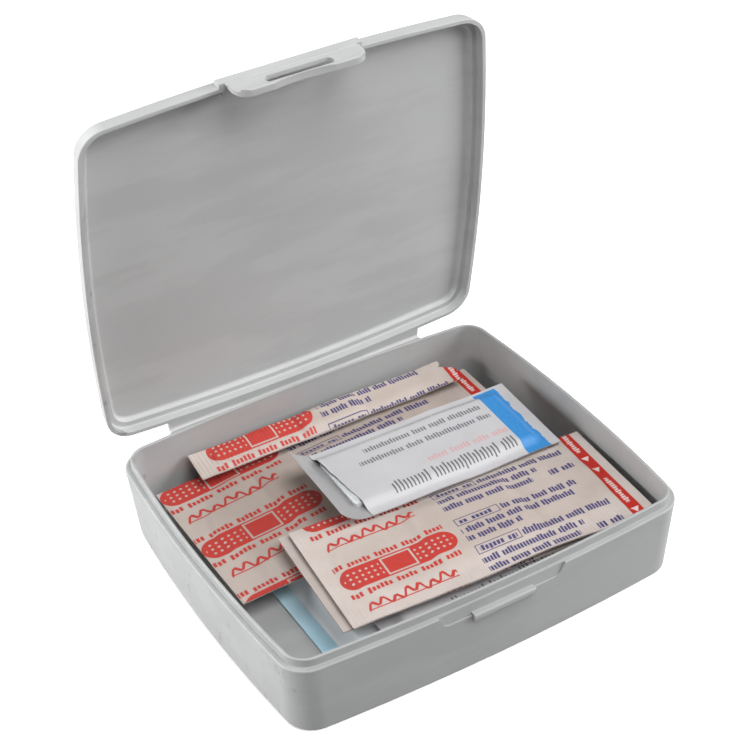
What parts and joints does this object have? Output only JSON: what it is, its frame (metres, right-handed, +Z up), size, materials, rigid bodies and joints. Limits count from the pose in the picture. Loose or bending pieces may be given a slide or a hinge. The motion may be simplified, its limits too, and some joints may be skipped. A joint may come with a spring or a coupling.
{
  "type": "first aid kit",
  "caption": "Hinged plastic pocket case with a snap latch, holding loose wrapped adhesive bandages, towelette sachets and a gauze sachet.",
  "frame": {"origin": "middle of the tray's flat base", "axes": "+X right along the hinge seen from the latch side, +Y from the latch to the hinge, +Z up"},
  "size_m": [0.118, 0.1085, 0.1255],
  "materials": {
    "case_plastic": "satin moulded polypropylene",
    "wrapper_paper": "uncoated paper",
    "wrapper_cover": "printed uncoated paper with crimped seals",
    "strip_plastic": "perforated tan film",
    "dressing_pad": "soft non-woven",
    "release_paper": "smooth coated paper",
    "towelette_foil": "satin laminated paper",
    "wipe_cloth": "damp non-woven",
    "sachet_film": "satin film",
    "gauze": "open weave cotton"
  },
  "bodies": {
    "tray": {"tray": "case_plastic", "catch_rib": "case_plastic", "hinge_web_left": "case_plastic", "hinge_web_centre": "case_plastic", "hinge_web_right": "case_plastic"},
    "lid": {"lid": "case_plastic", "latch_web": "case_plastic"},
    "latch": {"latch_tab": "case_plastic"},
    "gauze_sachet": {"gauze_film_back": "sachet_film", "gauze_film_front": "sachet_film", "gauze_pad_lower": "gauze", "gauze_pad_upper": "gauze"},
    "spare_towelette": {"spare_towelette_back": "towelette_foil", "spare_towelette_front": "towelette_foil", "spare_towelette_wipe": "wipe_cloth"},
    "large_bandage": {"large_paper": "wrapper_paper", "large_cover": "wrapper_cover", "large_strip": "strip_plastic", "large_pad": "dressing_pad", "large_release_left": "release_paper", "large_release_right": "release_paper"},
    "back_bandage": {"back_paper": "wrapper_paper", "back_cover": "wrapper_cover", "back_strip": "strip_plastic", "back_pad": "dressing_pad", "back_release_left": "release_paper", "back_release_right": "release_paper"},
    "under_bandage": {"under_paper": "wrapper_paper", "under_cover": "wrapper_cover", "under_strip": "strip_plastic", "under_pad": "dressing_pad", "under_release_left": "release_paper", "under_release_right": "release_paper"},
    "front_bandage": {"front_paper": "wrapper_paper", "front_cover": "wrapper_cover", "front_strip": "strip_plastic", "front_pad": "dressing_pad", "front_release_left": "release_paper", "front_release_right": "release_paper"},
    "top_towelette": {"towelette_back": "towelette_foil", "towelette_front": "towelette_foil", "towelette_wipe": "wipe_cloth"}
  },
  "joints": [
    {"name": "lid_hinge", "type": "hinge", "parent": "tray", "child": "lid", "pos_m": [0, 0.05215, 0.02195], "axis": [-1, 0, 0], "range_deg": [-83.3, 96.7]},
    {"name": "latch_flex", "type": "hinge", "parent": "lid", "child": "latch", "pos_m": [0, 0.03978, 0.12466], "axis": [-1, 0, 0], "range_deg": [0, 35], "stiffness_Nm_per_rad": 0.002},
    {"name": "gauze_sachet_lift", "type": "slide", "parent": "tray", "child": "gauze_sachet", "axis": [0, 0, 1], "range_m": [0, 0.04]},
    {"name": "spare_towelette_lift", "type": "slide", "parent": "gauze_sachet", "child": "spare_towelette", "axis": [0, 0, 1], "range_m": [0, 0.04]},
    {"name": "large_bandage_lift", "type": "slide", "parent": "spare_towelette", "child": "large_bandage", "axis": [0, 0, 1], "range_m": [0, 0.04]},
    {"name": "back_bandage_lift", "type": "slide", "parent": "large_bandage", "child": "back_bandage", "axis": [0, 0, 1], "range_m": [0, 0.04]},
    {"name": "under_bandage_lift", "type": "slide", "parent": "back_bandage", "child": "under_bandage", "axis": [0, 0, 1], "range_m": [0, 0.04]},
    {"name": "front_bandage_lift", "type": "slide", "parent": "under_bandage", "child": "front_bandage", "axis": [0, 0, 1], "range_m": [0, 0.04]},
    {"name": "top_towelette_lift", "type": "slide", "parent": "front_bandage", "child": "top_towelette", "axis": [0, 0, 1], "range_m": [0, 0.04]}
  ]
}
